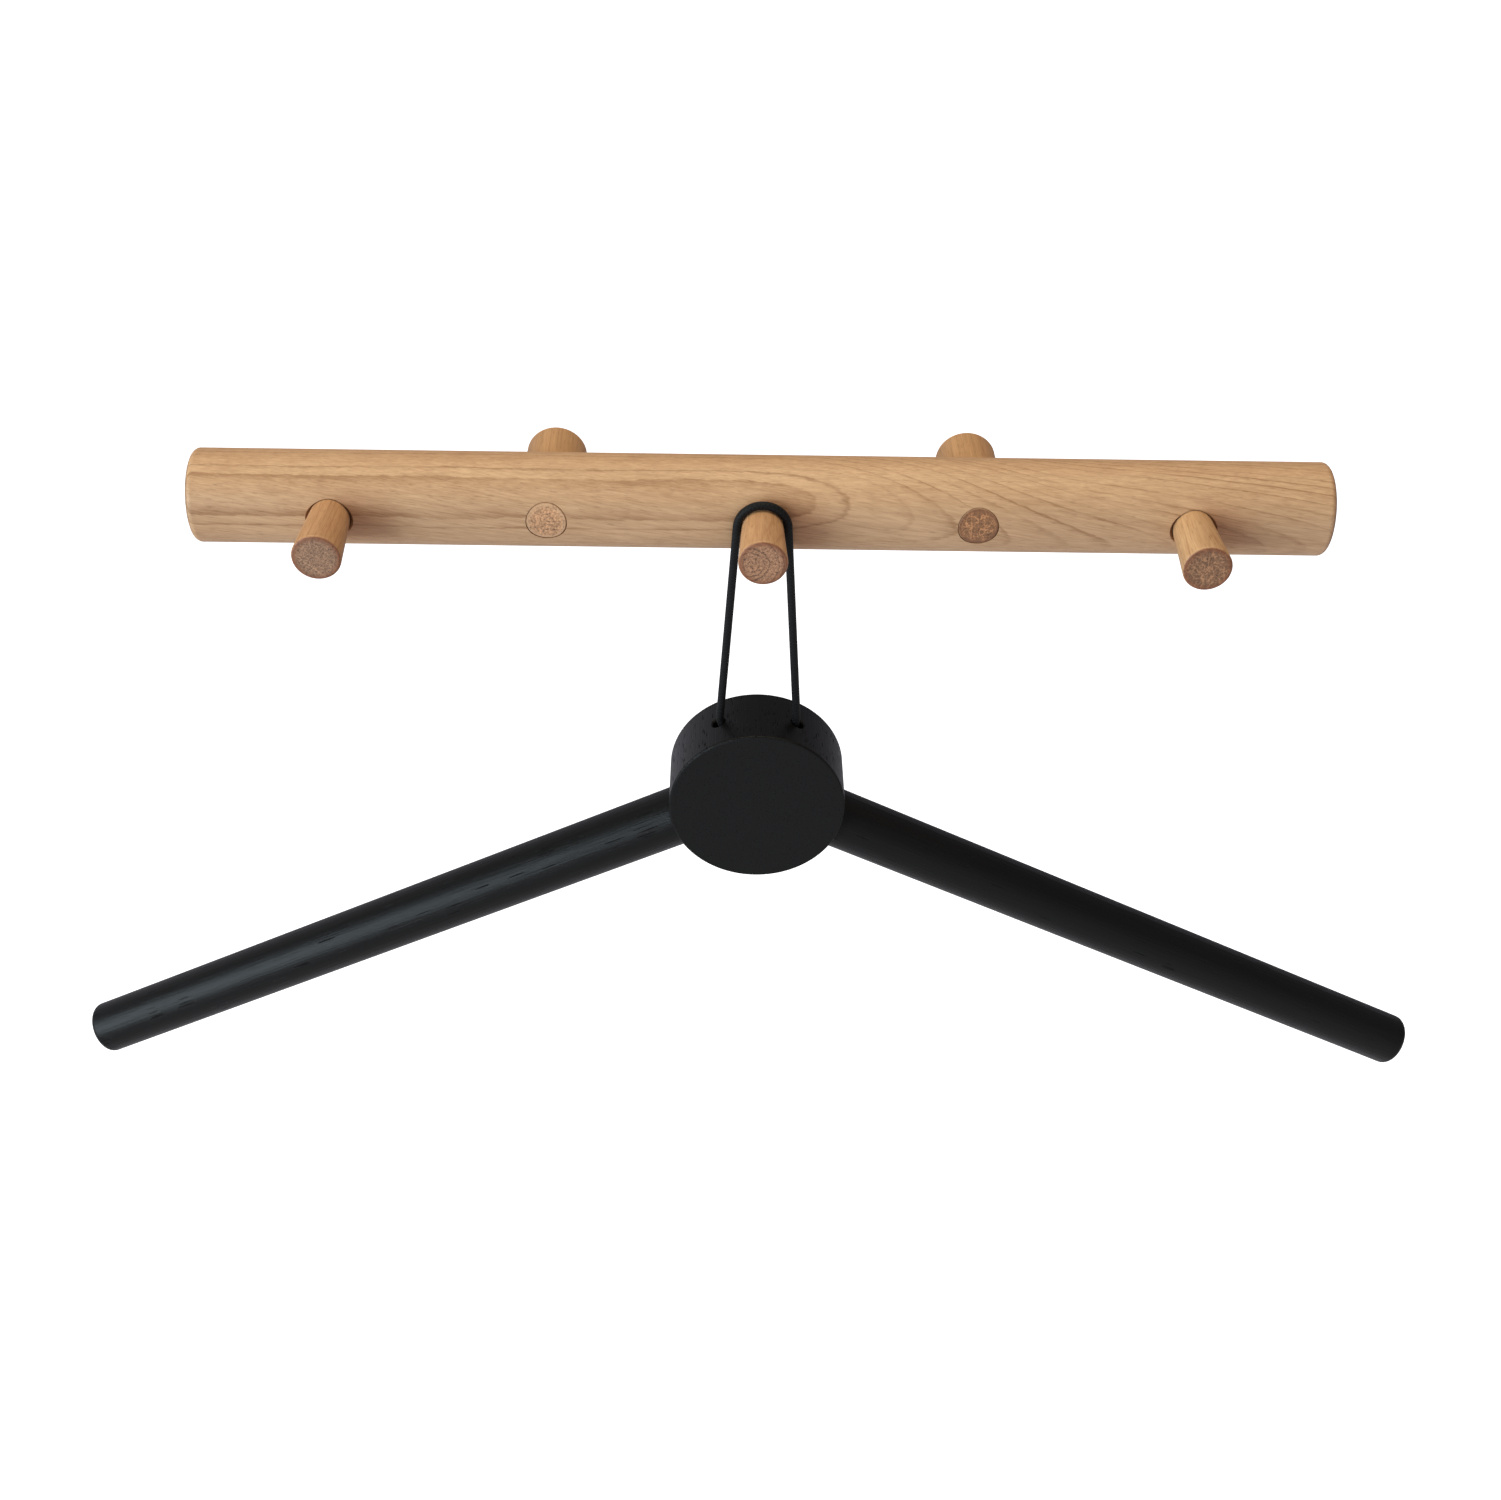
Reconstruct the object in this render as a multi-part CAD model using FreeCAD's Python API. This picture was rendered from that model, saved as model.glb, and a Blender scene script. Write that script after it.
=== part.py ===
"""Wall hook rack: a round oak rail on two stand-off dowels, three tapered pegs, two cover caps over
the screw holes, and a black-stained dowel clothes hanger that hangs from the centre peg on a cord.

Millimetres. X runs along the rail, +Y goes into the wall and +Z is up, so the front faces -Y.
The origin is on the wall's surface, midway between the two screw holes.
"""

import FreeCAD, Part

import math
import os

Vector = FreeCAD.Vector

# Rail
RAIL_D = 28.0
RAIL_L = 338.0
RAIL_EDGE_R = 2.0
STATION_PITCH = 63.5          # five stations: peg, screw, peg, screw, peg
WALL_GAP = 15.0               # from the wall to the back of the rail

# Tapered pegs: thin at the rail, thick at the free end, glued in by a tenon
PEG_REACH = 22.0              # from the front of the rail to the peg's end
PEG_END_D = 14.4
PEG_ROOT_D = 12.0
PEG_EDGE_R = 0.8
PEG_BORE_D = 12.3             # the bore that takes the peg's root, down to its shoulder
PEG_BORE_DEPTH = 4.0
PEG_MOUTH_D = 14.0            # the bore's bevelled mouth, which leaves a gap round the peg
PEG_MOUTH_DEPTH = 1.1
TENON_D = 10.0
TENON_L = 13.0
GLUE_GAP = 0.05               # round every glued dowel
TENON_END_GAP = 0.5

# Screw stations: a cover cap in front, a countersunk hole, and a stand-off dowel behind
CAP_D = 12.0
CAP_PLAY = 0.08               # radial play of the cap in its bore
CAP_BORE_DEPTH = 9.0
CAP_HEAD_GAP = 0.4            # between the back of the cap and a screw's head
CAP_BEVEL = 0.35
STANDOFF_D = 18.5
STANDOFF_SOCKET_DEPTH = 5.0
STANDOFF_EDGE_R = 0.6

# Holes for two countersunk 4 x 60 mm wood screws
SCREW_HEAD_D = 8.0
SCREW_HOLE_D = 4.6
SCREW_SEAT_PLAY = 0.05        # round the head in its countersink

# Hanger
CORD_D = 2.5
CORD_TO_RAIL = 0.55           # between the cord and the front of the rail
CORD_TO_PEG = 0.2
HUB_D = 56.0
HUB_T = 23.6
HUB_EDGE_R = 0.8
HUB_DROP = 95.0               # from the peg's axis down to the hub's centre
ARM_D = 19.0                  # in the hub; each arm tapers from the hub's side to its tip
ARM_TIP_D = 17.6
ARM_REACH = 254.8             # from the hub's centre to the arm's tip
ARM_SLOPE = 26.0              # degrees below level
ARM_SOCKET_DEPTH = 13.0
ARM_EDGE_R = 2.0
CORD_HOLE_D = 4.5
CORD_HOLE_ANGLE = 26.5        # degrees from straight up, round the hub's side
CORD_HOLE_BEVEL = 0.5         # broken edge of each hole's mouth
CORD_IN_HOLE = 4.0            # how far the loop runs down each hole
CORD_HOLE_PLAY = 0.25         # between the cord and the hole's inner edge
CORD_BREAK = 1.0              # gap between the loop and the ends inside the hub
KNOT_ROOM_D = 14.0            # round recess in the hub's back that holds the knot
KNOT_ROOM_DEPTH = 16.0
KNOT_D = 7.0
RUN_SHARE = 0.45              # share of the shorter run that an arc may use

# Worked out
RAIL_R = RAIL_D / 2
RAIL_Y = -(WALL_GAP + RAIL_R)
FRONT_Y = RAIL_Y - RAIL_R
BACK_Y = RAIL_Y + RAIL_R
CORD_Y = FRONT_Y - CORD_TO_RAIL - CORD_D / 2
STATIONS = {"left": -2, "screw_left": -1, "centre": 0, "screw_right": 1, "right": 2}
PEG_X = {side: STATIONS[side] * STATION_PITCH for side in ("left", "centre", "right")}
SCREW_X = {side: STATIONS["screw_" + side] * STATION_PITCH for side in ("left", "right")}
SIDES = {"left": -1, "right": 1}
INTO_WALL = Vector(0, 1, 0)


def rod(diameter, length, start, direction=INTO_WALL):
    return Part.makeCylinder(diameter / 2, length, start, direction)


def cone(d1, d2, length, start, direction=INTO_WALL):
    return Part.makeCone(d1 / 2, d2 / 2, length, start, direction)


def turned(profile, x):
    """A solid turned about the Y axis line at x, from (radius, y) points."""
    points = [Vector(x + radius, y, 0) for radius, y in profile]
    face = Part.Face(Part.makePolygon(points + points[:1]))
    return face.revolve(Vector(x, 0, 0), INTO_WALL, 360)


def round_edges(solid, radius, chosen):
    """Round every circular edge that the test picks."""
    edges = [e for e in solid.Edges if isinstance(e.Curve, Part.Circle) and chosen(e)]
    return solid.makeFillet(radius, edges)


def rail_body():
    bar = rod(RAIL_D, RAIL_L, Vector(-RAIL_L / 2, RAIL_Y, 0), Vector(1, 0, 0))
    return round_edges(bar, RAIL_EDGE_R, lambda e: True)


def peg_root_d(depth):
    """Diameter of a peg's taper at a depth behind the front of the rail."""
    return PEG_ROOT_D - (PEG_END_D - PEG_ROOT_D) * depth / PEG_REACH


def rail():
    body = rail_body()
    for x in PEG_X.values():
        front = Vector(x, FRONT_Y, 0)
        body = body.cut(cone(PEG_MOUTH_D, PEG_BORE_D, PEG_MOUTH_DEPTH, front))
        body = body.cut(rod(PEG_BORE_D, PEG_BORE_DEPTH, front))
        body = body.cut(rod(TENON_D, PEG_BORE_DEPTH + TENON_L + TENON_END_GAP, front))
    for x in SCREW_X.values():
        body = body.cut(rod(CAP_D + 2 * CAP_PLAY, CAP_BORE_DEPTH, Vector(x, FRONT_Y, 0)))
        body = body.cut(rod(SCREW_HOLE_D, RAIL_D, Vector(x, FRONT_Y, 0)))
        body = body.cut(countersink(x))
        socket = Vector(x, BACK_Y - STANDOFF_SOCKET_DEPTH, 0)
        body = body.cut(rod(STANDOFF_D + 2 * GLUE_GAP, STANDOFF_SOCKET_DEPTH, socket))
    return body


def countersink(x):
    """The cone that the screw's head sits in, from the floor of the cap's bore to the screw hole."""
    mouth_d = SCREW_HEAD_D + 2 * SCREW_SEAT_PLAY
    depth = (mouth_d - SCREW_HOLE_D) / 2
    return cone(mouth_d, SCREW_HOLE_D, depth, Vector(x, FRONT_Y + CAP_BORE_DEPTH, 0))


def peg(x):
    shoulder_y = FRONT_Y + PEG_BORE_DEPTH
    end_y = FRONT_Y - PEG_REACH
    tenon_r = TENON_D / 2 - GLUE_GAP
    profile = [
        (0, end_y),
        (PEG_END_D / 2, end_y),
        (peg_root_d(PEG_BORE_DEPTH) / 2, shoulder_y),
        (tenon_r, shoulder_y),
        (tenon_r, shoulder_y + TENON_L),
        (0, shoulder_y + TENON_L),
    ]
    return round_edges(turned(profile, x), PEG_EDGE_R, lambda e: abs(e.Curve.Center.y - end_y) < 0.01)


def cover_cap(x):
    """A short plug of oak, its face shaped to the rail's round front and its edge bevelled."""
    depth = CAP_BORE_DEPTH - CAP_HEAD_GAP
    blank = rod(CAP_D, depth, Vector(x, FRONT_Y, 0)).common(rail_body()).removeSplitter()
    rim = [e for e in blank.Edges if e.BoundBox.YMax < FRONT_Y + depth / 2 and e.BoundBox.XLength > 1]
    return blank.makeChamfer(CAP_BEVEL, rim)


def standoff(x):
    length = WALL_GAP + STANDOFF_SOCKET_DEPTH
    dowel = rod(STANDOFF_D, length, Vector(x, -length, 0))
    dowel = round_edges(dowel, STANDOFF_EDGE_R, lambda e: abs(e.Curve.Center.y) < 0.01)
    return dowel.cut(rod(SCREW_HOLE_D, length, Vector(x, -length, 0)))


def hub_centre():
    return Vector(0, CORD_Y, -HUB_DROP)


def arm_direction(side):
    slope = math.radians(ARM_SLOPE)
    return Vector(SIDES[side] * math.cos(slope), 0, -math.sin(slope))


def hole_direction(side):
    """Straight out of the hub's centre along a cord hole."""
    angle = math.radians(CORD_HOLE_ANGLE)
    return Vector(SIDES[side] * math.sin(angle), 0, math.cos(angle))


def hole_inward(side):
    """Across a cord hole, towards the other hole: the side that the tight cord lies against."""
    angle = math.radians(CORD_HOLE_ANGLE)
    return Vector(-SIDES[side] * math.cos(angle), 0, math.sin(angle))


def hub():
    centre = hub_centre()
    front = centre - INTO_WALL * (HUB_T / 2)
    back = centre + INTO_WALL * (HUB_T / 2)
    puck = round_edges(rod(HUB_D, HUB_T, front), HUB_EDGE_R, lambda e: True)
    puck = puck.cut(rod(KNOT_ROOM_D, KNOT_ROOM_DEPTH, back, INTO_WALL * -1))
    for side in SIDES:
        floor = centre + arm_direction(side) * (HUB_D / 2 - ARM_SOCKET_DEPTH)
        puck = puck.cut(rod(ARM_D + 2 * GLUE_GAP, HUB_D, floor, arm_direction(side)))
        puck = puck.cut(rod(CORD_HOLE_D, HUB_D, centre, hole_direction(side)))
        puck = puck.cut(mouth_bevel(side))
    return puck


def mouth_bevel(side):
    """A 45 degree cone that breaks the edge where a cord hole meets the hub's side."""
    start = hub_centre() + hole_direction(side) * (HUB_D / 2 - CORD_HOLE_BEVEL)
    outer_d = CORD_HOLE_D + 4 * CORD_HOLE_BEVEL
    return cone(CORD_HOLE_D, outer_d, 2 * CORD_HOLE_BEVEL, start, hole_direction(side))


def arm(side):
    along = arm_direction(side)
    inner = hub_centre() + along * (HUB_D / 2 - ARM_SOCKET_DEPTH)
    outer = hub_centre() + along * (HUB_D / 2)
    tip = hub_centre() + along * ARM_REACH
    root = rod(ARM_D, ARM_SOCKET_DEPTH, inner, along)
    dowel = root.fuse(cone(ARM_D, ARM_TIP_D, ARM_REACH - HUB_D / 2, outer, along))
    return round_edges(dowel, ARM_EDGE_R, lambda e: e.Curve.Center.distanceToPoint(tip) < 0.01)


def in_hole(side, radius):
    """A point of the cord's line in a hole, at a distance from the hub's centre."""
    aside = CORD_HOLE_D / 2 - CORD_D / 2 - CORD_HOLE_PLAY
    return hub_centre() + hole_direction(side) * radius + hole_inward(side) * aside


def wrap_radius():
    """Radius of the cord's line round the peg."""
    reach = FRONT_Y - CORD_Y
    return peg_root_d(-reach) / 2 + CORD_D / 2 + CORD_TO_PEG


def top_corner(side):
    """Where the cord's leg, drawn tight past the peg, meets the level line over the peg."""
    mouth = in_hole(side, HUB_D / 2)
    wrap = wrap_radius()
    lean = math.atan2(mouth.z, abs(mouth.x)) + math.acos(wrap / math.hypot(mouth.x, mouth.z))
    return Vector(SIDES[side] * wrap * math.tan((math.pi / 2 - lean) / 2), CORD_Y, wrap)


def loop_route():
    """The loop's route points, each with the radius of the arc that goes round it."""
    route = []
    for side in ("left", "right"):
        end = in_hole(side, HUB_D / 2 - CORD_IN_HOLE)
        mouth = in_hole(side, HUB_D / 2)
        corner = top_corner(side)
        turn = (mouth - end).getAngle(corner - mouth)
        bend = RUN_SHARE * CORD_IN_HOLE / math.tan(turn / 2)
        stretch = [(end, 0.0), (mouth, bend), (corner, wrap_radius())]
        route += stretch if side == "left" else stretch[::-1]
    return route


def tube(route, diameter):
    """A round tube along straight runs joined by tangent arcs."""
    points = [point for point, radius in route]
    edges = []
    start = points[0]
    for before, (corner, radius), after in zip(points, route[1:], points[2:]):
        back = (before - corner).normalize()
        on = (after - corner).normalize()
        half = (math.pi - back.getAngle(on)) / 2
        trim = radius * math.tan(half)
        middle = (back + on).normalize() * (radius / math.cos(half) - radius)
        arc_in, arc_out = corner + back * trim, corner + on * trim
        if start.distanceToPoint(arc_in) > 1e-6:
            edges.append(Part.LineSegment(start, arc_in).toShape())
        edges.append(Part.Arc(arc_in, corner + middle, arc_out).toShape())
        start = arc_out
        print(f"  arc radius {radius:.2f} mm, turn {math.degrees(2 * half):.1f} degrees")
    edges.append(Part.LineSegment(start, points[-1]).toShape())
    path = Part.Wire(edges)
    ring = Part.Wire(Part.Circle(points[0], points[1] - points[0], diameter / 2).toShape())
    solid = path.makePipeShell([ring], True, False)
    expected = math.pi * diameter ** 2 / 4 * path.Length
    print(f"  length {path.Length:.2f} mm, volume {solid.Volume:.2f}, section x length {expected:.2f}")
    return solid


def cord_ends():
    """The two short ends of the cord inside the hub, from below the loop to the knot."""
    ends = []
    for side in SIDES:
        outer = in_hole(side, HUB_D / 2 - CORD_IN_HOLE - CORD_BREAK)
        inner = in_hole(side, KNOT_D / 2 + CORD_D / 2)
        ends.append(rod(CORD_D, outer.distanceToPoint(inner), outer, inner - outer))
    return Part.makeCompound(ends)


def cord_knot():
    return Part.makeSphere(KNOT_D / 2, hub_centre())


def build():
    nodes = {
        "rail": rail(),
        "hanger_hub": hub(),
        "hanger_cord": tube(loop_route(), CORD_D),
        "hanger_cord_ends": cord_ends(),
        "hanger_cord_knot": cord_knot(),
    }
    for side, x in PEG_X.items():
        nodes["peg_" + side] = peg(x)
    for side, x in SCREW_X.items():
        nodes["cover_cap_" + side] = cover_cap(x)
        nodes["standoff_" + side] = standoff(x)
        nodes["hanger_arm_" + side] = arm(side)
    return nodes


os.makedirs("parts", exist_ok=True)
for name, shape in build().items():
    shape.exportStep(f"parts/{name}.step")
    print(name, "valid" if shape.isValid() else "NOT VALID", f"{shape.Volume:.1f} mm3")
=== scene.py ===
"""Looks for the wall hook rack: oiled oak on the rail, pegs, caps and stand-offs, black-stained wood
on the hanger's hub and arms, and a waxed braided cord that is tied in a knot inside the hub.

Metres, in the row frame: X along the rail, +Y into the wall, +Z up. Wood patterns are solid
textures in millimetres of the same frame, so side grain and end grain belong together.
"""

import math

import bpy
import numpy as np
from mathutils import Matrix, Vector


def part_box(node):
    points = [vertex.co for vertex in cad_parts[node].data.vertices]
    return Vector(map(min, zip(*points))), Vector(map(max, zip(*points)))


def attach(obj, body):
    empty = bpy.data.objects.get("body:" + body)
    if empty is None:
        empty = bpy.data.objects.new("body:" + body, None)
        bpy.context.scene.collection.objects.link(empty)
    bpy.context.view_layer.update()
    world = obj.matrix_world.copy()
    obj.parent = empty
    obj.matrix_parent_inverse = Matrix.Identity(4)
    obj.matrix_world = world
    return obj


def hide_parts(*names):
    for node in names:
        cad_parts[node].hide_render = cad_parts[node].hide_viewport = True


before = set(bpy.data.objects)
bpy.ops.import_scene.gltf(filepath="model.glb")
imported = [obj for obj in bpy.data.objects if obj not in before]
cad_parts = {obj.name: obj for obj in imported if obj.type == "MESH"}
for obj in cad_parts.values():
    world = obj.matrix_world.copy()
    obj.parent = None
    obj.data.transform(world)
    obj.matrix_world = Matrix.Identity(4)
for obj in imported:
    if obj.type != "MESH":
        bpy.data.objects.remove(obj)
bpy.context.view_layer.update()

MM = 0.001

# Camera
LENS_MM = 46.4071
SENSOR_MM = 36.0
CAMERA_AT = (-0.00974, -0.53953, 0.28439)
CAMERA_DOWN, CAMERA_RIGHT, CAMERA_ROLL = 36.4297, 0.8692, 1.1654   # degrees
CLIP_NEAR, CLIP_FAR = 0.01, 50

# Cord: the loop's route in the plane CORD_Y, as (x, z), left half, from inside the hub to over the peg
CORD_Y = -0.0448
CORD_D = 0.0025
LEFT_ROUTE = [
    (-0.01019, -0.07319),
    (-0.01221, -0.06964),
    (-0.01188, -0.06570),
    (-0.00772, -0.00252),
    (-0.00735, 0.00344),
    (-0.00299, 0.00755),
]
HUB_CENTRE = Vector((0, CORD_Y, -0.095))
ARM_SLOPE = math.radians(26)


# ---------------------------------------------------------------- node trees

class Tree:
    """One material's nodes: each method adds a node and returns its output."""

    def __init__(self, name):
        self.material = bpy.data.materials.new(name)
        self.material.use_nodes = True
        self.nodes = self.material.node_tree.nodes
        self.links = self.material.node_tree.links
        self.nodes.clear()

    def add(self, kind, inputs, **settings):
        """A node of a kind. An input that is another node's output is linked, and any other is set."""
        node = self.nodes.new(kind)
        for key, value in settings.items():
            setattr(node, key, value)
        for key, value in inputs.items():
            if isinstance(value, bpy.types.NodeSocket):
                self.links.new(value, node.inputs[key])
            else:
                node.inputs[key].default_value = value
        return node

    def math(self, operation, a, b=0.0, c=0.0):
        inputs = dict(enumerate((a, b, c)))
        return self.add("ShaderNodeMath", inputs, operation=operation).outputs[0]

    def times(self, a, b):
        return self.math("MULTIPLY", a, b)

    def plus(self, a, b):
        return self.math("ADD", a, b)

    def minus(self, a, b):
        return self.math("SUBTRACT", a, b)

    def times_plus(self, a, b, c):
        return self.math("MULTIPLY_ADD", a, b, c)

    def length(self, a, b):
        return self.math("SQRT", self.times_plus(a, a, self.times(b, b)))

    def smooth(self, value, low, high, to_low=0.0, to_high=1.0):
        """A smooth step from to_low, at low, to to_high, at high."""
        inputs = {0: value, 1: low, 2: high, 3: to_low, 4: to_high}
        node = self.add("ShaderNodeMapRange", inputs, interpolation_type="SMOOTHSTEP")
        return node.outputs[0]

    def join(self, x, y, z):
        return self.add("ShaderNodeCombineXYZ", {0: x, 1: y, 2: z}).outputs[0]

    def split(self, vector):
        return self.add("ShaderNodeSeparateXYZ", {0: vector}).outputs

    def dot(self, vector, direction):
        inputs = {0: vector, 1: tuple(direction)}
        return self.add("ShaderNodeVectorMath", inputs, operation="DOT_PRODUCT").outputs["Value"]

    def noise(self, vector, detail=2.0, rough=0.5):
        inputs = {"Vector": vector, "Scale": 1.0, "Detail": detail, "Roughness": rough}
        return self.add("ShaderNodeTexNoise", inputs).outputs[0]

    def cells(self, vector):
        """Distance to the nearest cell point, and a random number for that cell."""
        node = self.add("ShaderNodeTexVoronoi", {"Vector": vector, "Scale": 1.0})
        return node.outputs["Distance"], self.split(node.outputs["Color"])[0]

    def mix(self, factor, a, b):
        inputs = {0: factor, 6: a, 7: b}
        return self.add("ShaderNodeMix", inputs, data_type="RGBA").outputs[2]

    def shade(self, colour, factor):
        """A colour made lighter or darker by a factor."""
        inputs = {0: colour[:3], 3: factor}
        return self.add("ShaderNodeVectorMath", inputs, operation="SCALE").outputs[0]

    def tinted(self, colour, tint):
        """A colour through a coloured filter."""
        inputs = {0: colour, 1: tint}
        return self.add("ShaderNodeVectorMath", inputs, operation="MULTIPLY").outputs[0]

    def shaded_from(self, direction, reach):
        """How far the surface is shut in towards a direction, by something within reach of it."""
        normal = self.add("ShaderNodeNewGeometry", {}).outputs["Normal"]
        inputs = {0: normal, 1: tuple(direction)}
        way = self.add("ShaderNodeVectorMath", inputs, operation="ADD").outputs[0]
        inputs = {"Distance": reach, "Normal": way}
        open_part = self.add("ShaderNodeAmbientOcclusion", inputs, samples=SHADE_SAMPLES)
        return self.minus(1.0, open_part.outputs["AO"])

    def bump(self, height, distance, strength=1.0):
        inputs = {"Height": height, "Distance": distance, "Strength": strength}
        return self.add("ShaderNodeBump", inputs).outputs[0]

    def finish(self, colour, roughness, normal, **fixed):
        """The surface's shader. fixed are numbers set on its own sockets."""
        shader = self.add("ShaderNodeBsdfPrincipled", {
            "Base Color": colour, "Roughness": roughness, "Normal": normal,
        })
        for key, value in fixed.items():
            shader.inputs[key.replace("_", " ")].default_value = value
        self.add("ShaderNodeOutputMaterial", {"Surface": shader.outputs[0]})
        return self.material


def rgb(red, green, blue):
    """A display colour from 0 to 255, as the linear colour that a shader takes."""
    def linear(v):
        v /= 255
        return v / 12.92 if v <= 0.04045 else ((v + 0.055) / 1.055) ** 2.4
    return (linear(red), linear(green), linear(blue), 1.0)


class Grain:
    """Coordinates for a piece of wood, in millimetres: along its fibres and two ways across. Where
    the surface is cut across the fibres, facing_end is 1. slope tips the fibres against the piece."""

    def __init__(self, tree, along, across, centre=(0, 0, 0), seed=0.0, slope=0.0):
        self.tree, self.seed = tree, seed
        coordinates = tree.add("ShaderNodeTexCoord", {})
        place = tree.add("ShaderNodeVectorMath", {
            0: coordinates.outputs["Object"], 1: tuple(centre),
        }, operation="SUBTRACT").outputs[0]
        place = tree.add("ShaderNodeVectorMath", {0: place, 3: 1 / MM}, operation="SCALE").outputs[0]
        third = Vector(along).cross(Vector(across))
        self.along = tree.dot(place, along)
        self.a = tree.dot(place, across)
        self.b = tree.dot(place, third)
        self.fibre_b = tree.times_plus(self.along, slope, self.b)
        self.facing_end = tree.math("ABSOLUTE", tree.dot(coordinates.outputs["Normal"], along))

    def stretched(self, along_mm, across_mm, shift=0.0):
        """Texture coordinates whose unit is along_mm on the fibres and across_mm across them."""
        tree, shift = self.tree, shift + self.seed
        return tree.join(
            tree.times_plus(self.along, 1 / along_mm, shift),
            tree.times_plus(self.a, 1 / across_mm, shift * 1.7),
            tree.times_plus(self.fibre_b, 1 / across_mm, shift * 0.6),
        )

    def rings(self, pith, spacing, wander):
        """Growth rings round the pith: the share of a ring passed, how strong that ring is (0 to 1),
        and the polar angle."""
        tree = self.tree
        a, b = tree.minus(self.a, pith[0]), tree.minus(self.b, pith[1])
        radius = tree.length(a, b)
        sway = tree.minus(tree.noise(self.stretched(80, 22, 3.1)), 0.5)
        ripple = tree.minus(tree.noise(self.stretched(26, 5, 8.4)), 0.5)
        jitter = tree.minus(tree.noise(self.stretched(3.5, 0.9, 7.7)), 0.5)
        radius = tree.times_plus(sway, 2.6 * wander, radius)
        radius = tree.times_plus(ripple, 1.2 * wander, radius)
        radius = tree.times_plus(jitter, 0.5, radius)
        uneven = tree.noise(tree.join(tree.times(radius, 0.35), self.seed, 0.0), 1.0)
        turns = tree.times_plus(radius, 1 / spacing, tree.times(uneven, 1.2))
        which = tree.math("FLOOR", turns)
        strength = tree.noise(tree.join(tree.times(which, 5.3), self.seed, 4.0), 0.0)
        patch = tree.noise(self.stretched(30, 6, 6.6), 1.0)
        strength = tree.smooth(strength, 0.30, 0.62, 0.25, 1.0)
        strength = tree.times(strength, tree.smooth(patch, 0.3, 0.62, 0.50, 1.0))
        return tree.math("FRACT", turns), strength, tree.math("ARCTAN2", b, a)

    def pores(self, density, along_mm, across_mm, size, shift=0.0):
        """Open pores, one to a long cell: density is the share of cells that have one, and size its
        radius as a share of the cell."""
        tree = self.tree
        distance, chance = tree.cells(self.stretched(along_mm, across_mm, shift))
        there = tree.math("LESS_THAN", chance, density)
        return tree.times(tree.smooth(distance, size * 0.45, size, 1.0, 0.0), there)


# ---------------------------------------------------------------- oak

OAK_PORE = rgb(118, 78, 50)
OAK_BUMP = 0.0001                 # depth of the surface's relief
OAK_GLOSS = 0.42
EARLY_TONE, LINE_TONE = 0.22, 0.70                  # how much rings darken the wood
FIBRE_TONE, STREAK_TONE, PATCH_TONE = 1.35, 0.80, 0.45
MIDDLE_TONE = 0.30                # between light (0) and dark (1), away from any ring
SHADE_WAY = (-1.3, -0.3, 0.3)     # towards the side that the pegs shade
SHADE_REACH = 0.016
SHADE_SAMPLES = 8
SHADE_TINT = (0.79, 0.66, 0.59)   # painted shadow colour: wood that is lit only by the wood beside it looks warmer


def rail_pith(tree, grain):
    """Where the tree's centre lies behind the rail: it comes nearer and turns upwards to the right."""
    x = tree.minus(grain.along, 8.0)
    bow = tree.plus(tree.length(x, 8.0), x)
    distance = tree.times_plus(bow, -0.07, 55.0)
    lean = tree.smooth(grain.along, 10.0, 100.0, math.radians(30), math.radians(-30))
    a = tree.times(distance, tree.math("COSINE", lean))
    b = tree.times(tree.times(distance, tree.math("SINE", lean)), -1.0)
    return a, b


def ring_band(tree, part, strength, fade_from, fade_to):
    """A ring's dark band: it starts at the ring's edge and fades over a share of the ring."""
    rise = tree.smooth(part, 0.0, 0.10)
    fall = tree.smooth(part, fade_from, fade_to, 1.0, 0.0)
    return tree.times(tree.times(rise, fall), strength)


def oak_side(tree, grain, early, line, light, dark, ring_show, pore_show):
    """Side grain: its colour, and the fibres and pores that the relief follows."""
    fibres = tree.noise(grain.stretched(9, 0.42, 1.3), 3.0, 0.62)
    streaks = tree.noise(grain.stretched(26, 1.3, 5.2), 2.0, 0.55)
    patches = tree.noise(grain.stretched(70, 11, 2.2), 2.0)
    tone = tree.times_plus(early, ring_show * EARLY_TONE, tree.times(line, ring_show * LINE_TONE))
    tone = tree.times_plus(tree.minus(fibres, 0.5), FIBRE_TONE, tone)
    tone = tree.times_plus(tree.minus(streaks, 0.5), STREAK_TONE, tone)
    tone = tree.times_plus(tree.minus(patches, 0.5), PATCH_TONE, tone)
    tone = tree.math("MAXIMUM", tree.plus(tone, MIDDLE_TONE), 0.0)
    colour = tree.mix(tree.math("MINIMUM", tone, 1.0), light, dark)
    fine = grain.pores(tree.times_plus(early, 0.50, 0.18), 4.5, 0.42, 0.34)
    long = grain.pores(tree.times_plus(early, 0.30, 0.05), 10.0, 0.62, 0.28, 9.0)
    pores = tree.math("MAXIMUM", fine, long)
    return tree.mix(tree.times(pores, pore_show), colour, OAK_PORE), fibres, pores


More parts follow.
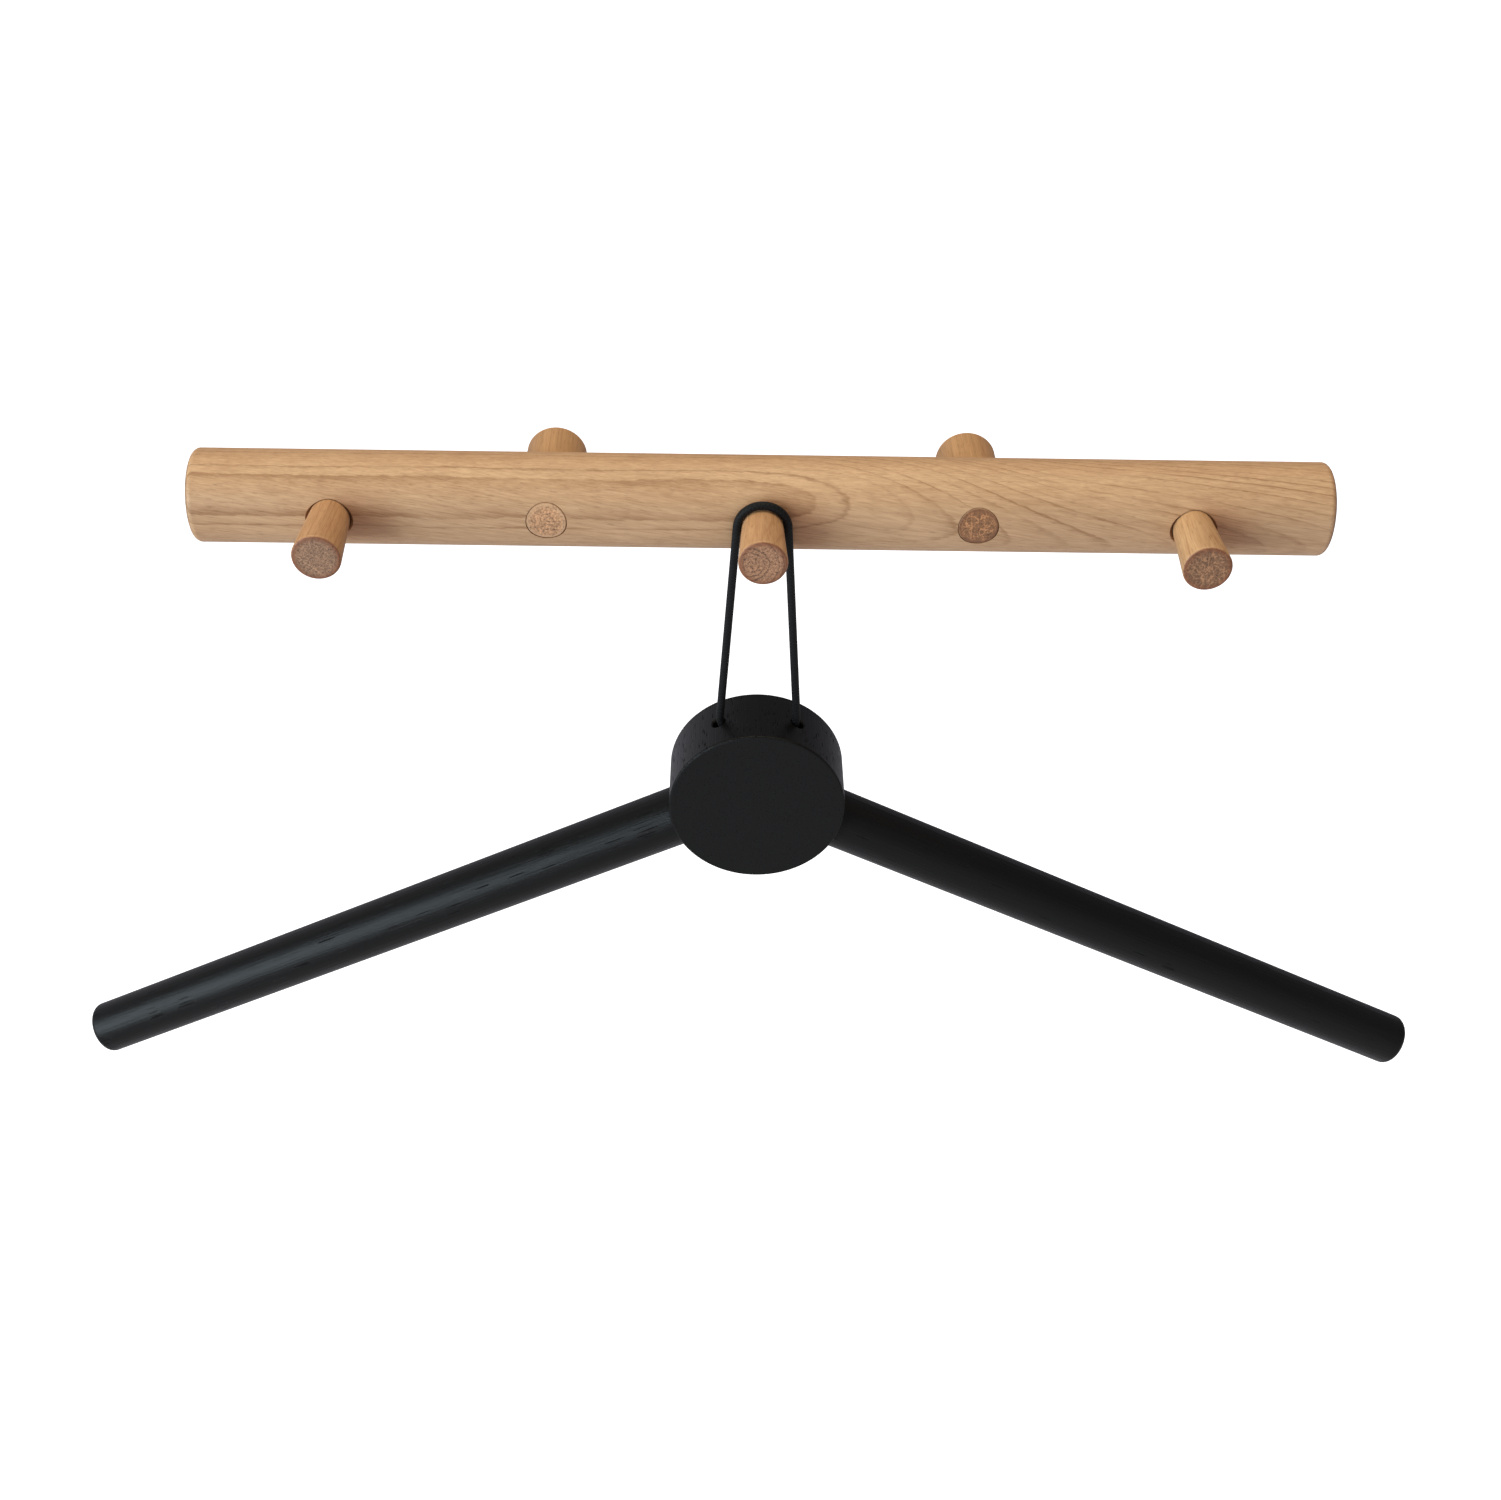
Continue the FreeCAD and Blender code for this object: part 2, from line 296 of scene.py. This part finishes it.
def oak_end(tree, grain, early, angle, end, rim, face_r=7.0, ray_angle=30.0, ray_show=0.5,
            end_ring_show=0.5, speckle=0.4, dot_show=0.4, crackle=0.0):
    """End grain: bands of open early wood, round pores, pale rays that run out from the pith, and
    pale webs. It returns the colour, the mottle that breaks it up, and the round pores."""
    ray_place = tree.join(tree.times(angle, ray_angle), grain.seed, tree.times(grain.along, 0.2))
    rays = tree.smooth(tree.noise(ray_place, 3.0, 0.7), 0.55, 0.64)
    mottle = tree.noise(grain.stretched(4, 0.68, 4.4), 3.0, 0.80)
    dots = grain.pores(tree.times_plus(early, 0.30, speckle), 9.0, 0.50, 0.40, 6.5)
    webs = tree.noise(grain.stretched(6, 2.4, 2.7), 2.0, 0.6)
    webs = tree.smooth(tree.math("ABSOLUTE", tree.minus(webs, 0.5)), 0.0, 0.050, 1.0, 0.0)
    outer = tree.smooth(tree.length(grain.a, grain.b), face_r * 0.66, face_r * 0.98)
    tone = tree.times_plus(early, -end_ring_show, tree.times_plus(mottle, 3.3, -0.63))
    tone = tree.times_plus(dots, -dot_show, tone)
    tone = tree.times_plus(rays, ray_show, tone)
    tone = tree.times_plus(webs, crackle, tone)
    tone = tree.times_plus(tree.times(outer, early), -end_ring_show, tone)
    colour = tree.shade(end, tree.math("MAXIMUM", tone, 0.25))
    worn = tree.times(outer, tree.times_plus(mottle, 2.4, -0.45))
    return tree.mix(worn, colour, rim), mottle, dots


def oak(name, grain_of, pith_of, spacing, light, dark, rim, wander=1.0, ring_show=0.5, pore_show=0.3,
        low_rings=1.0, edge_show=0.6, painted_peg_shadow=False, **end_look):
    """Oiled oak: rings, open pores, fine fibres and rays, with darker end grain and rims. low_rings is
    how strong the rings are on a piece's lower side. It can also paint the pegs' shadow on the wood
    beside them: darker and warmer where a peg shuts it in towards the left."""
    tree = Tree(name)
    grain = grain_of(tree)
    part, strength, angle = grain.rings(pith_of(tree, grain), spacing, wander)
    strength = tree.times(strength, tree.smooth(grain.b, -8.0, 0.0, low_rings, 1.0))
    early = ring_band(tree, part, strength, 0.15, 0.55)
    line = ring_band(tree, part, strength, 0.10, 0.28)
    side, fibres, pores = oak_side(tree, grain, early, line, light, dark, ring_show, pore_show)
    ends, mottle, dots = oak_end(tree, grain, early, angle, rim=rim, **end_look)

    colour = tree.mix(tree.smooth(grain.facing_end, 0.60, 0.90), side, ends)
    # The band where the surface turns from side grain to end grain takes the rim colour: partly end
    # grain on the rounded edge, partly painted shade along the edge where the rim colour is darker
    edge = tree.times(tree.smooth(grain.facing_end, 0.30, 0.70),
                      tree.smooth(grain.facing_end, 0.86, 0.995, 1.0, 0.0))
    broken = tree.smooth(mottle, 0.36, 0.60, 0.30, 1.0)
    colour = tree.mix(tree.times(tree.times(edge, broken), edge_show), colour, rim)
    # painted shadow: where a peg shuts the rail in towards the left, the wood is painted darker and
    # warmer, like the pegs' cast shadows
    if painted_peg_shadow:
        shade = tree.smooth(tree.shaded_from(SHADE_WAY, SHADE_REACH), 0.08, 0.45)
        colour = tree.mix(shade, colour, tree.tinted(colour, SHADE_TINT))

    height = tree.times_plus(pores, -0.6, tree.times(fibres, 0.35))
    height = tree.times_plus(dots, tree.smooth(grain.facing_end, 0.6, 0.9, 0.0, -0.8), height)
    normal = tree.bump(height, OAK_BUMP, 0.8)
    roughness = tree.times_plus(pores, 0.18, tree.times_plus(fibres, 0.16, 0.44))
    return tree.finish(colour, roughness, normal, Specular_IOR_Level=OAK_GLOSS)


def along_y(centre_x, seed):
    """Grain that runs front to back through a turned piece at centre_x."""
    return lambda tree: Grain(tree, (0, 1, 0), (1, 0, 0), (centre_x, 0, 0), seed)


def pith_at(a, b, slope=0.0):
    """The tree's centre beside a short piece; slope moves it along the grain."""
    return lambda tree, grain: (tree.times_plus(grain.along, slope, a), b)


# ---------------------------------------------------------------- black-stained wood

BLACK_PORE = rgb(3, 3, 3)
BLACK_BUMP = 0.00032
BLACK_GLOSS = 0.17
BLACK_LOW, BLACK_HIGH = (8, 8, 7), (18, 18, 17)   # display colours between the fibres and on them


def black_wood(name, along, across, seed, pore_share, pore_mm, lift):
    """Black stain on open-grained wood: a satin film that follows the fibres and dips in the pores.
    lift is added to its display colours."""
    tree = Tree(name)
    grain = Grain(tree, along, across, HUB_CENTRE, seed)
    fibres = tree.noise(grain.stretched(22, 0.45, 2.0), 3.0, 0.6)
    streaks = tree.noise(grain.stretched(60, 2.4, 6.0), 2.0)
    share = tree.times_plus(tree.smooth(streaks, 0.42, 0.60), pore_share, pore_share * 0.35)
    pores = grain.pores(share, pore_mm, 0.60, 0.36)
    tone = tree.times_plus(fibres, 0.9, tree.times(streaks, 0.5))
    low, high = (rgb(*(v + lift for v in shown)) for shown in (BLACK_LOW, BLACK_HIGH))
    colour = tree.mix(tone, low, high)
    colour = tree.mix(tree.times(pores, 0.9), colour, BLACK_PORE)
    side = tree.smooth(grain.facing_end, 0.7, 0.95, 1.0, 0.1)
    height = tree.times_plus(pores, -1.0, tree.times(fibres, 0.4))
    normal = tree.bump(tree.times(height, side), BLACK_BUMP, 0.9)
    roughness = tree.times_plus(pores, 0.40, tree.times_plus(fibres, 0.16, 0.27))
    roughness = tree.plus(roughness, tree.smooth(grain.facing_end, 0.7, 0.95, 0.0, 0.14))
    return tree.finish(colour, roughness, normal, Specular_IOR_Level=BLACK_GLOSS)


# ---------------------------------------------------------------- cord

CORD_DARK, CORD_LIGHT, CORD_WORN = rgb(6, 6, 6), rgb(18, 18, 18), rgb(28, 28, 29)
CORD_BUMP = 0.00005
BRAID_TURNS = 0.85            # strands crossed in each millimetre of cord
BRAID_STRANDS = 4             # each way round


def waxed_cord(name):
    """A fine waxed braid: crossing strands from the piece's own coordinates along and round it."""
    tree = Tree(name)
    place = tree.add("ShaderNodeTexCoord", {}).outputs["UV"]
    along, round_it, _ = tree.split(place)

    def wave(along_turns, round_turns):
        turns = tree.times_plus(along, along_turns, tree.times(round_it, round_turns))
        return tree.math("SINE", tree.times(turns, 2 * math.pi))

    one, other = wave(BRAID_TURNS, BRAID_STRANDS), wave(BRAID_TURNS, -BRAID_STRANDS)
    over = tree.smooth(wave(0.0, 2 * BRAID_STRANDS), -0.3, 0.3)
    weave = tree.plus(one, tree.times(over, tree.minus(other, one)))
    wear = tree.noise(tree.join(tree.times(along, 0.5), tree.times(round_it, 6.0), 0.0), 3.0, 0.6)
    # painted shade: the cord is darker where the weave sinks between its strands and lighter on their
    # tops
    colour = tree.mix(tree.smooth(weave, -1.0, 1.0), CORD_DARK, CORD_LIGHT)
    colour = tree.mix(tree.smooth(wear, 0.45, 0.8, 0.0, 0.5), colour, CORD_WORN)
    normal = tree.bump(weave, CORD_BUMP, 0.6)
    roughness = tree.times_plus(wear, 0.2, 0.46)
    return tree.finish(colour, roughness, normal, Specular_IOR_Level=0.16, Sheen_Weight=0.03)


# ---------------------------------------------------------------- materials on the CAD nodes

def dress(node, material):
    """Put a material on a CAD node."""
    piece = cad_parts[node]
    piece.data.materials.clear()
    piece.data.materials.append(material)


rail_low, rail_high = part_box("rail")
RAIL_AXIS = (0, (rail_low.y + rail_high.y) / 2, 0)

dress("rail", oak(
    "rail_oak",
    lambda tree: Grain(tree, (1, 0, 0), (0, 1, 0), RAIL_AXIS, slope=0.16),
    rail_pith, 2.1, wander=0.45, face_r=14.0, edge_show=0.15,
    light=rgb(203, 164, 124), dark=rgb(160, 119, 82), end=rgb(158, 120, 86), rim=rgb(132, 96, 66),
    ring_show=0.85, low_rings=0.40, pore_show=0.26, ray_angle=40.0, painted_peg_shadow=True,
))

PEG_LOOKS = {
    "peg_left": dict(
        pith=(-28, -24), seed=11.0, spacing=1.6, light=rgb(191, 145, 102), dark=rgb(152, 103, 63),
        end=rgb(144, 109, 83), ray_show=0.50, end_ring_show=0.12, crackle=0.10,
    ),
    "peg_centre": dict(
        pith=(0.4, 0.3), seed=23.0, spacing=1.45, light=rgb(195, 150, 106), dark=rgb(158, 110, 70),
        end=rgb(162, 118, 87), ray_show=0.10, end_ring_show=0.45, crackle=0.0,
    ),
    "peg_right": dict(
        pith=(12, -34), seed=37.0, spacing=1.6, light=rgb(199, 158, 114), dark=rgb(162, 116, 76),
        end=rgb(130, 93, 65), ray_show=0.30, end_ring_show=0.12, crackle=0.85,
    ),
}
PEG_ALL = dict(
    pith_slope=0.06, rim=rgb(126, 71, 41), face_r=7.2, ring_show=0.45, ray_angle=34.0, speckle=0.25,
)
CAP_LOOKS = {
    "cover_cap_left": dict(
        pith=(6, -44), seed=51.0, end=rgb(187, 140, 101), rim=rgb(200, 160, 122),
        ray_show=0.10, end_ring_show=0.06, speckle=0.62, dot_show=0.75, edge_show=0.25,
    ),
    "cover_cap_right": dict(
        pith=(-4, -38), seed=67.0, end=rgb(132, 91, 59), rim=rgb(118, 76, 50),
        ray_show=0.60, end_ring_show=-0.30, speckle=0.3, crackle=1.10, edge_show=0.5,
    ),
}
CAP_ALL = dict(
    spacing=1.3, light=rgb(190, 147, 108), dark=rgb(154, 108, 71), face_r=6.0, ray_angle=44.0,
)
STANDOFF_SEEDS = {"standoff_left": 71.0, "standoff_right": 83.0}
STANDOFF_ALL = dict(
    pith=(24, -30), spacing=2.1, light=rgb(192, 147, 100), dark=rgb(154, 109, 67),
    end=rgb(146, 108, 76), rim=rgb(120, 82, 54), ring_show=0.50, face_r=9.0,
)


def dress_turned(node, seed, pith, pith_slope=0.0, **look):
    """Oak on a piece that was turned from front to back."""
    low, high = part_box(node)
    grain_of = along_y((low.x + high.x) / 2, seed)
    dress(node, oak(node + "_oak", grain_of, pith_at(*pith, pith_slope), **look))


for node, look in PEG_LOOKS.items():
    dress_turned(node, **look, **PEG_ALL)
for node, look in CAP_LOOKS.items():
    dress_turned(node, **look, **CAP_ALL)
for node, seed in STANDOFF_SEEDS.items():
    dress_turned(node, seed, **STANDOFF_ALL)

dress("hanger_hub", black_wood(
    "hub_black", (0, 1, 0), (1, 0, 0), 5.0, pore_share=0.60, pore_mm=4.5, lift=0,
))
for node, sign in (("hanger_arm_left", -1), ("hanger_arm_right", 1)):
    along = (sign * math.cos(ARM_SLOPE), 0, -math.sin(ARM_SLOPE))
    dress(node, black_wood(
        node + "_black", along, (0, 1, 0), 40.0 + 7 * sign, pore_share=0.16, pore_mm=12.0, lift=1,
    ))


# ---------------------------------------------------------------- cord, its ends and the knot

def nurbs_line(name, points):
    """A smooth line with these control points, with no thickness."""
    curve = bpy.data.curves.new(name, "CURVE")
    curve.dimensions = "3D"
    curve.resolution_u = 24
    spline = curve.splines.new("NURBS")
    spline.points.add(len(points) - 1)
    for point, place in zip(spline.points, points):
        point.co = (*place, 1.0)
    spline.order_u = 3
    spline.use_endpoint_u = True
    holder = bpy.data.objects.new(name, curve)
    bpy.context.scene.collection.objects.link(holder)
    bpy.context.view_layer.update()
    evaluated = holder.evaluated_get(bpy.context.evaluated_depsgraph_get())
    mesh = bpy.data.meshes.new_from_object(evaluated)
    line = np.array([v.co for v in mesh.vertices], float)
    bpy.data.objects.remove(holder)
    bpy.data.meshes.remove(mesh)
    return line


def evenly(line, step):
    """The same line with points about a step apart."""
    gaps = np.linalg.norm(np.diff(line, axis=0), axis=1)
    run = np.r_[0, np.cumsum(gaps)]
    keep = np.r_[True, gaps > 1e-9]
    run, line = run[keep], line[keep]
    stations = np.linspace(0, run[-1], max(2, round(run[-1] / step) + 1))
    return np.stack([np.interp(stations, run, line[:, k]) for k in range(3)], 1)


def tube(name, line, diameter, sides=20, closed=False):
    """A round tube along a line, with its length in millimetres and its turns as its UV map."""
    count = len(line)
    if closed:
        ahead, behind = np.roll(line, -1, 0), np.roll(line, 1, 0)
        tangents = ahead - behind
    else:
        tangents = np.gradient(line, axis=0)
    tangents /= np.linalg.norm(tangents, axis=1)[:, None]
    normal = np.cross(tangents[0], [0.0, 1.0, 0.1])
    normal /= np.linalg.norm(normal)
    rings = []
    for place, tangent in zip(line, tangents):
        normal = normal - tangent * (normal @ tangent)
        normal /= np.linalg.norm(normal)
        side = np.cross(tangent, normal)
        turns = np.arange(sides) * 2 * math.pi / sides
        ring = np.outer(np.cos(turns), normal) + np.outer(np.sin(turns), side)
        rings.append(place + ring * diameter / 2)
    vertices = [tuple(v) for ring in rings for v in ring]
    faces, coordinates = [], []
    run = np.r_[0, np.cumsum(np.linalg.norm(np.diff(line, axis=0), axis=1))] / MM
    steps = count if closed else count - 1
    twist = best_turn(rings[-1], rings[0]) if closed else 0
    for i in range(steps):
        j = (i + 1) % count
        shift = twist if closed and j == 0 else 0
        end_run = run[j] if j else run[i] + np.linalg.norm(line[0] - line[i]) / MM
        for k in range(sides):
            m = (k + 1) % sides
            near, far = i * sides, j * sides
            faces.append((near + k, near + m, far + (m + shift) % sides, far + (k + shift) % sides))
            low, high = k / sides, (k + 1) / sides
            coordinates += [(run[i], low), (run[i], high), (end_run, high), (end_run, low)]
    if not closed:
        faces.append(tuple(range(sides))[::-1])
        faces.append(tuple((count - 1) * sides + k for k in range(sides)))
        coordinates += [(0, k / sides) for k in range(2 * sides)]
    mesh = bpy.data.meshes.new(name)
    mesh.from_pydata(vertices, [], faces)
    layer = mesh.uv_layers.new(name="UVMap")
    for loop, place in zip(layer.data, coordinates):
        loop.uv = place
    mesh.polygons.foreach_set("use_smooth", [len(face) == 4 for face in faces])
    mesh.update()
    piece = bpy.data.objects.new(name, mesh)
    bpy.context.scene.collection.objects.link(piece)
    return piece


def best_turn(last, first):
    """How many sides a closed tube's last ring is turned from its first."""
    sides = len(first)
    errors = [np.abs(np.roll(first, -shift, 0) - last).sum() for shift in range(sides)]
    return int(np.argmin(errors))


LINE_STEP = 0.0005
TAIL_STEP = 0.0004

cord_look = waxed_cord("waxed_cord")
route = [(x, CORD_Y, z) for x, z in LEFT_ROUTE]
route += [(-x, y, z) for x, y, z in reversed(route)]
loop_line = evenly(nurbs_line("loop_line", route), LINE_STEP)
cord = tube("cord_loop", loop_line, CORD_D)
cord.data.materials.append(cord_look)
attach(cord, "cord_loop")
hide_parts("hanger_cord")

KNOT_SIZE = 0.00072           # a trefoil's unit: it is about six of them wide
KNOT_RISE = 1.55              # in the same unit, how far its crossings stand apart
KNOT_POINTS = 180
END_INSET = Vector((-0.0010, 0, -0.0005))        # from the outer corner of an end's box to its line
END_AT_KNOT = Vector((0.0012, 0, 0.0026))        # from the hub's centre, right end
TAIL_ROUTE = [                                   # from the hub's centre, right tail, to the back
    Vector((0.0008, 0.0012, -0.0014)),
    Vector((0.0016, 0.0040, -0.0028)),
    Vector((0.0030, 0.0072, -0.0030)),
]


def knot_line():
    """A trefoil, which is what an overhand knot pulls into, lying flat in the hub's recess."""
    turns = np.linspace(0, 2 * math.pi, KNOT_POINTS, endpoint=False)
    x = np.sin(turns) + 2 * np.sin(2 * turns)
    z = np.cos(turns) - 2 * np.cos(2 * turns)
    y = -KNOT_RISE * np.sin(3 * turns)
    return np.stack([x, y, z], 1) * KNOT_SIZE + np.array(HUB_CENTRE)


def on_side(vector, sign):
    """The same vector on the left (-1) or right (1)."""
    return Vector((sign * vector.x, vector.y, vector.z))


def cord_end(side, sign):
    """One end of the cord inside the hub, from below the loop to the knot."""
    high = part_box("hanger_cord_ends")[1]
    outer = on_side(Vector((high.x, CORD_Y, high.z)) + END_INSET, sign)
    inner = HUB_CENTRE + on_side(END_AT_KNOT, sign)
    line = nurbs_line("end_line", [outer, outer.lerp(inner, 0.5), inner])
    return tube("cord_end_" + side, evenly(line, LINE_STEP), CORD_D)


def cord_tail(side, sign):
    """One tail of the knot, towards the mouth of the hub's recess."""
    line = nurbs_line("tail_line", [HUB_CENTRE + on_side(point, sign) for point in TAIL_ROUTE])
    return tube("cord_tail_" + side, evenly(line, TAIL_STEP), CORD_D)


knot = tube("cord_knot", knot_line(), CORD_D, 16, closed=True)
left_end, left_tail = cord_end("left", -1), cord_tail("left", -1)
right_end, right_tail = cord_end("right", 1), cord_tail("right", 1)
for piece in (knot, left_end, left_tail, right_end, right_tail):
    piece.data.materials.append(cord_look)
    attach(piece, "hanger")
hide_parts("hanger_cord_knot")
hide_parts("hanger_cord_ends")


# ---------------------------------------------------------------- stage, light and camera

FLOOR_Z = -1.0
FLOOR_REACH = 12.0
FLOOR_GLOW = 0.95             # the ground shows as plain white
LIGHT_TARGET = Vector((0, -0.04, -0.06))
KEY_LIGHT = dict(
    direction=(-0.78, -0.58, 0.20), distance=2.20, width=1.80, height=1.30, power=50.0,
    colour=(0.76, 0.91, 1.0),
)
OVERHEAD_LIGHT = dict(
    direction=(-0.05, 0.10, 1.0), distance=1.30, width=1.10, height=1.10, power=12.8,
    colour=(1.0, 0.90, 0.66),
)
ROOM_LOW = (0.69, 0.68, 0.72)
ROOM_HIGH = (0.22, 0.21, 0.24)
ROOM_LEFT = (0.26, 0.27, 0.30)
LOW_WAY, LOW_SPREAD = (0.0, -0.55, -0.83), (0.8, -0.4)    # cosines from full to none
LEFT_WAY, LEFT_SPREAD = (-0.8, 0.6, 0.0), (0.6, 0.97)     # cosines from none to full


def floor():
    """A plain pale floor that gives the object no light of its own."""
    tree = Tree("floor_pale")
    place = tree.add("ShaderNodeTexCoord", {}).outputs["Object"]
    cloud = tree.noise(place, 2.0)
    colour = tree.mix(cloud, (0.90, 0.90, 0.90, 1), (0.93, 0.93, 0.93, 1))
    shader = tree.add("ShaderNodeBsdfPrincipled", {
        "Base Color": colour, "Roughness": 0.9,
        "Emission Color": (1, 1, 1, 1), "Emission Strength": FLOOR_GLOW,
    })
    tree.add("ShaderNodeOutputMaterial", {"Surface": shader.outputs[0]})
    mesh = bpy.data.meshes.new("floor")
    corners = [(-1, -1), (1, -1), (1, 1), (-1, 1)]
    corners = [(x * FLOOR_REACH, y * FLOOR_REACH, FLOOR_Z) for x, y in corners]
    mesh.from_pydata(corners, [], [(0, 1, 2, 3)])
    mesh.materials.append(tree.material)
    plane = bpy.data.objects.new("floor", mesh)
    plane.visible_diffuse = False
    plane.visible_glossy = False
    bpy.context.scene.collection.objects.link(plane)


def soft_light(name, direction, distance, width, height, power, colour):
    """A rectangular soft light that faces the object from a direction."""
    lamp = bpy.data.lights.new(name, "AREA")
    lamp.shape = "RECTANGLE"
    lamp.size, lamp.size_y = width, height
    lamp.energy, lamp.color = power, colour
    holder = bpy.data.objects.new(name, lamp)
    direction = Vector(direction).normalized()
    holder.location = LIGHT_TARGET + direction * distance
    holder.rotation_euler = direction.to_track_quat("Z", "Y").to_euler()
    bpy.context.scene.collection.objects.link(holder)


def surroundings():
    """A soft room: a pale table below and in front, dimmer elsewhere, and a paler wall on the left."""
    world = bpy.data.worlds.new("room")
    bpy.context.scene.world = world
    world.use_nodes = True
    nodes, links = world.node_tree.nodes, world.node_tree.links
    nodes.clear()
    way = nodes.new("ShaderNodeTexCoord").outputs["Generated"]

    def share(direction, low, high):
        """How far a direction of the room is from low to high along another direction."""
        dot = nodes.new("ShaderNodeVectorMath")
        dot.operation = "DOT_PRODUCT"
        links.new(way, dot.inputs[0])
        dot.inputs[1].default_value = Vector(direction).normalized()
        ramp = nodes.new("ShaderNodeMapRange")
        ramp.interpolation_type = "SMOOTHSTEP"
        links.new(dot.outputs["Value"], ramp.inputs[0])
        ramp.inputs[1].default_value, ramp.inputs[2].default_value = low, high
        return ramp.outputs[0]

    tint = nodes.new("ShaderNodeMix")
    tint.data_type = "RGBA"
    tint.inputs[6].default_value = (*ROOM_LOW, 1)
    tint.inputs[7].default_value = (*ROOM_HIGH, 1)
    links.new(share(LOW_WAY, *LOW_SPREAD), tint.inputs[0])
    glow = nodes.new("ShaderNodeMix")
    glow.data_type = "RGBA"
    glow.blend_type = "ADD"
    glow.inputs[7].default_value = (*ROOM_LEFT, 1)
    links.new(share(LEFT_WAY, *LEFT_SPREAD), glow.inputs[0])
    links.new(tint.outputs[2], glow.inputs[6])
    back = nodes.new("ShaderNodeBackground")
    links.new(glow.outputs[2], back.inputs[0])
    out = nodes.new("ShaderNodeOutputWorld")
    links.new(back.outputs[0], out.inputs[0])


def camera():
    """The camera, turned down, then right, then rolled."""
    down, right, roll = (math.radians(v) for v in (CAMERA_DOWN, CAMERA_RIGHT, CAMERA_ROLL))
    ahead = Vector((math.sin(right), math.cos(right), 0))
    look = ahead * math.cos(down) - Vector((0, 0, math.sin(down)))
    level = Vector((math.cos(right), -math.sin(right), 0))
    upward = level.cross(look)
    x_axis = math.cos(roll) * level + math.sin(roll) * upward
    y_axis = -math.sin(roll) * level + math.cos(roll) * upward
    turned = Matrix((x_axis, y_axis, -look)).transposed().to_4x4()
    lens = bpy.data.cameras.new("camera")
    lens.sensor_fit = "HORIZONTAL"
    lens.sensor_width = SENSOR_MM
    lens.lens = LENS_MM
    lens.clip_start, lens.clip_end = CLIP_NEAR, CLIP_FAR
    holder = bpy.data.objects.new("camera", lens)
    holder.matrix_world = Matrix.Translation(CAMERA_AT) @ turned
    bpy.context.scene.collection.objects.link(holder)
    bpy.context.scene.camera = holder


floor()
surroundings()
soft_light("key", **KEY_LIGHT)
soft_light("overhead", **OVERHEAD_LIGHT)
camera()
bpy.context.scene.view_settings.view_transform = "Standard"
